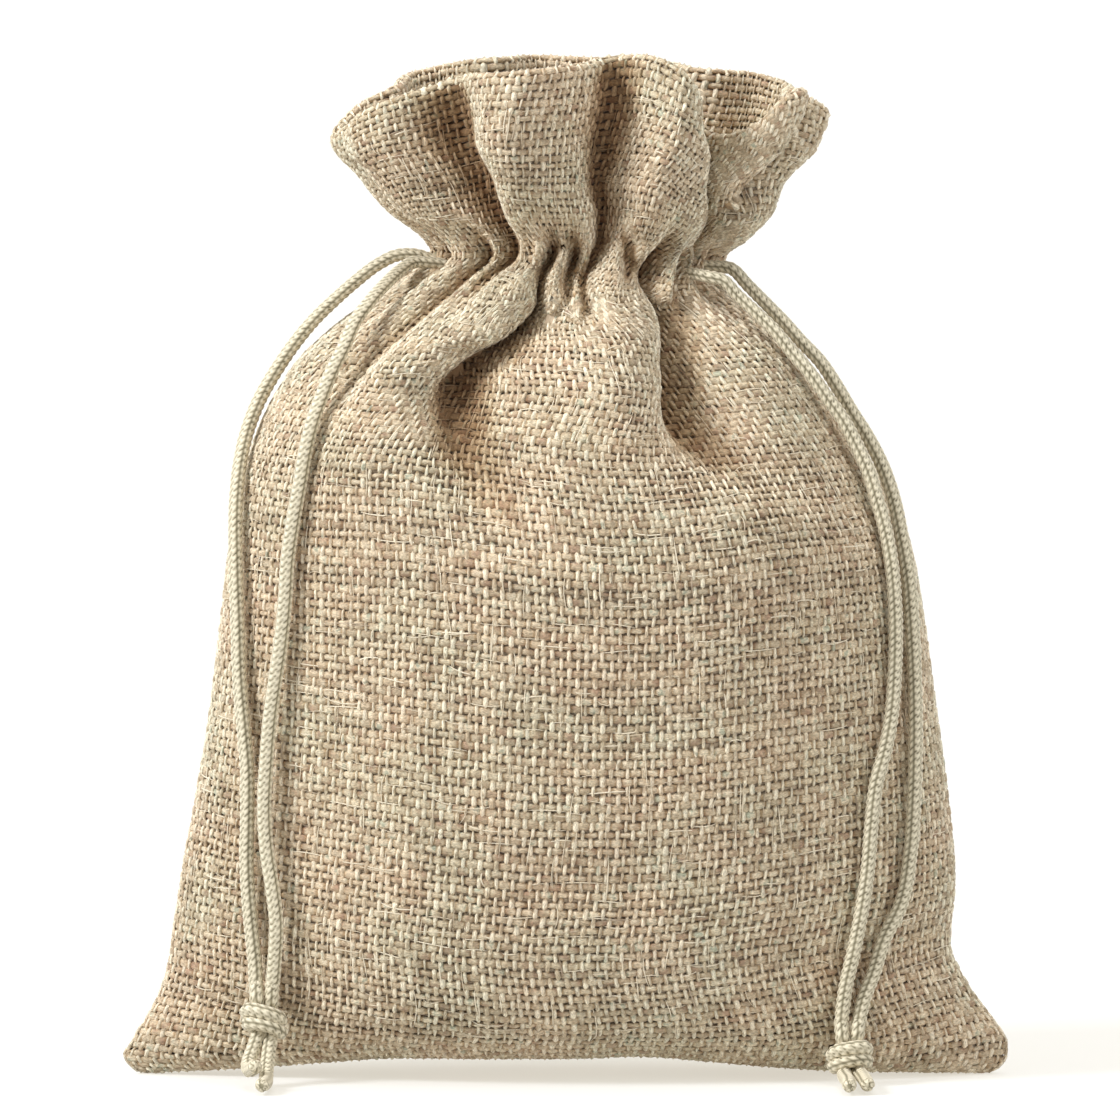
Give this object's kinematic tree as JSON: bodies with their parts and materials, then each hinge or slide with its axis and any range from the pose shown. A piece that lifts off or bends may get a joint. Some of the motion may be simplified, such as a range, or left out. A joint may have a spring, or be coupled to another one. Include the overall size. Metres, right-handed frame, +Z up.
{
  "type": "burlap drawstring sack",
  "caption": "Small burlap drawstring pouch, filled and standing, with a gathered neck, a flared ruffle and knotted cord pulls at both sides.",
  "frame": {"origin": "middle of the base, on the surface that the pouch stands on", "axes": "+Z up along the pouch, -Y towards its front face, +X to the right seen from the front"},
  "size_m": [0.1305, 0.0622, 0.1488],
  "materials": {
    "burlap": "matte coarse plain weave",
    "cord": "soft sheen braid"
  },
  "bodies": {
    "root": {"sack": "burlap", "cord_left_outer": "cord", "cord_left_inner": "cord", "knot_left": "cord", "cord_right_outer": "cord", "cord_right_inner": "cord", "knot_right": "cord"}
  },
  "joints": []
}
